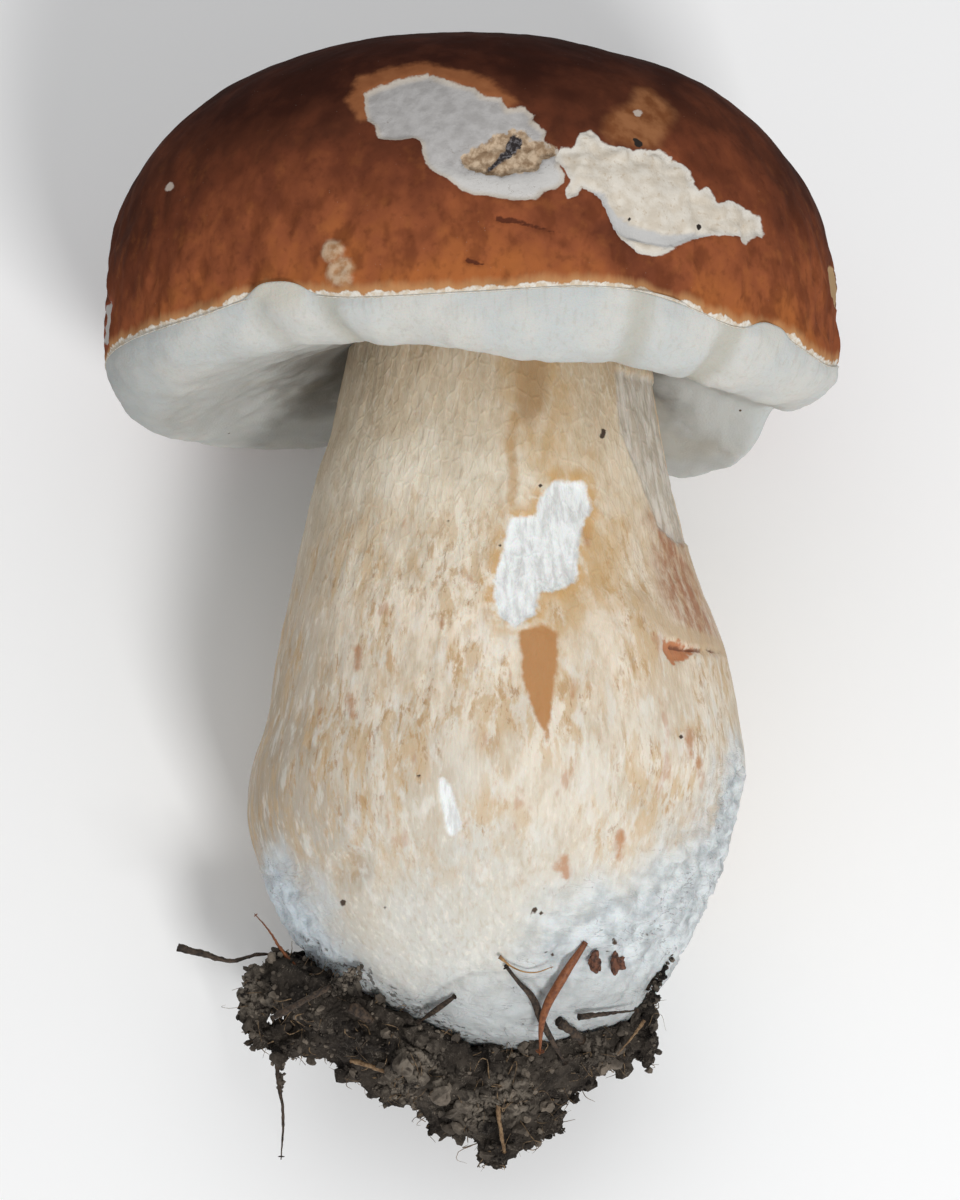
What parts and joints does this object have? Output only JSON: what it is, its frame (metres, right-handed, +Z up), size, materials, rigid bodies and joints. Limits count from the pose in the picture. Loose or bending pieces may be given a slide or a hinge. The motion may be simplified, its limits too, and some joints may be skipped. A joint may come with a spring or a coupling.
{
  "type": "porcini mushroom",
  "caption": "Fresh bolete with a domed brown cap, a thick pale tube layer and a club stem, lying on its side with soil on its foot.",
  "frame": {"origin": "middle of the bounding box's bottom face, on the surface the mushroom lies on", "axes": "+Z up, +Y along the mushroom from its soiled foot to its cap, +X to the right as seen from the foot end"},
  "size_m": [0.1072, 0.1614, 0.1005],
  "materials": {
    "cap_skin": "smooth dry skin with a slight sheen",
    "tubes": "matt, very fine pores",
    "stem_flesh": "matt, finely netted and streaked",
    "soil": "loose crumbs, matt",
    "dark_litter": "matt bark",
    "brown_litter": "dry needle, slight sheen",
    "straw_litter": "dry root, matt"
  },
  "bodies": {
    "root": {"cap": "cap_skin", "tube_layer": "tubes", "stem": "stem_flesh", "soil": "soil", "needle_red": "brown_litter", "needle_dark": "dark_litter", "hair_root": "straw_litter", "bark_chip": "dark_litter", "bud_scale_left": "dark_litter", "bud_scale_right": "dark_litter", "needle_side": "dark_litter", "twig_foot": "dark_litter", "twig_left": "dark_litter", "rootlet_left": "brown_litter", "twig_cross": "dark_litter", "bark_left": "brown_litter", "straw_left": "straw_litter", "straw_tip": "straw_litter", "root_hanging": "dark_litter", "twig_right": "dark_litter", "root_right": "straw_litter"}
  },
  "joints": []
}
